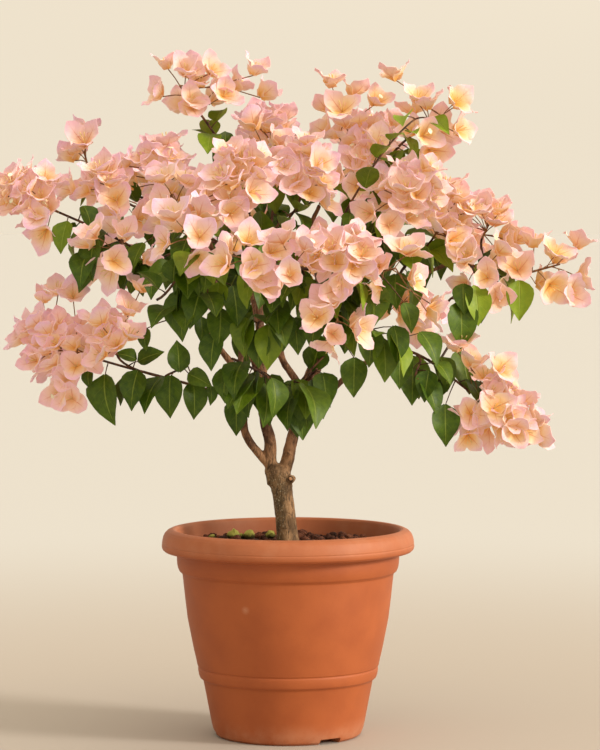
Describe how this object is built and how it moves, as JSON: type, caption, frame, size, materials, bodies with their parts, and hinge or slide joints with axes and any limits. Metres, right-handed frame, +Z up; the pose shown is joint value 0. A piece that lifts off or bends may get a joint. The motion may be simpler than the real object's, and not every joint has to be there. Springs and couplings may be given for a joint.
{
  "type": "bougainvillea bonsai",
  "caption": "Small umbrella-shaped bougainvillea tree with a forked trunk, hanging oval leaves and heads of papery apricot-pink blooms, growing in a banded terracotta-coloured plastic pot.",
  "frame": {"origin": "centre of the pot's underside, on the surface that the pot stands on", "axes": "+Z up along the pot's axis; -Y is the tree's front, as the picture shows it; +X is to the right seen from the front"},
  "size_m": [0.721, 0.5462, 0.811],
  "materials": {
    "pot_plastic": "matte terracotta-coloured plastic, lightly dusty",
    "potting_soil": "rough red-brown crumb",
    "bark": "rough grey-brown bark",
    "leaf": "satin green leaf",
    "bract": "matte papery bract, apricot to pink"
  },
  "bodies": {
    "root": {"pot": "pot_plastic", "soil": "potting_soil", "trunk_and_limbs": "bark", "blooms_crown_left": "bract", "blooms_left_top": "bract", "blooms_left_upper": "bract", "blooms_left_small": "bract", "blooms_far_left": "bract", "blooms_left_middle": "bract", "blooms_low_left": "bract", "blooms_low_left_inner": "bract", "blooms_front_left": "bract", "blooms_front_left_upper": "bract", "blooms_top_front": "bract", "blooms_top_middle": "bract", "blooms_front_centre_left": "bract", "blooms_front_centre": "bract", "blooms_front_right": "bract", "blooms_front_low": "bract", "blooms_front_far_right": "bract", "blooms_crown_middle": "bract", "blooms_crown_middle_left": "bract", "blooms_crown_right": "bract", "blooms_right_front": "bract", "blooms_far_right": "bract", "blooms_right_middle": "bract", "blooms_right_small": "bract", "blooms_right_upper": "bract", "blooms_top_right": "bract", "blooms_low_right": "bract", "blooms_back_left": "bract", "blooms_back_far_left": "bract", "blooms_back_middle": "bract", "blooms_back_low_left": "bract", "blooms_back_right": "bract", "blooms_back_far_right": "bract", "blooms_back_low": "bract", "blooms_back_low_right": "bract", "blooms_crown_back": "bract", "blooms_crown_back_right": "bract", "shoot_crown_left": "leaf", "shoot_upper_left": "leaf", "shoot_far_left": "leaf", "shoot_low_left": "leaf", "shoot_front_left": "leaf", "shoot_top_front": "leaf", "shoot_front_centre": "leaf", "shoot_front_right": "leaf", "shoot_crown_middle": "leaf", "shoot_crown_right": "leaf", "shoot_far_right": "leaf", "shoot_upper_right": "leaf", "shoot_low_right": "leaf", "shoot_back_left": "leaf", "shoot_back_middle": "leaf", "shoot_back_right": "leaf", "shoot_back_low": "leaf", "shoot_crown_back": "leaf", "shoot_inner_right": "leaf", "shoot_inner_left": "leaf"}
  },
  "joints": []
}
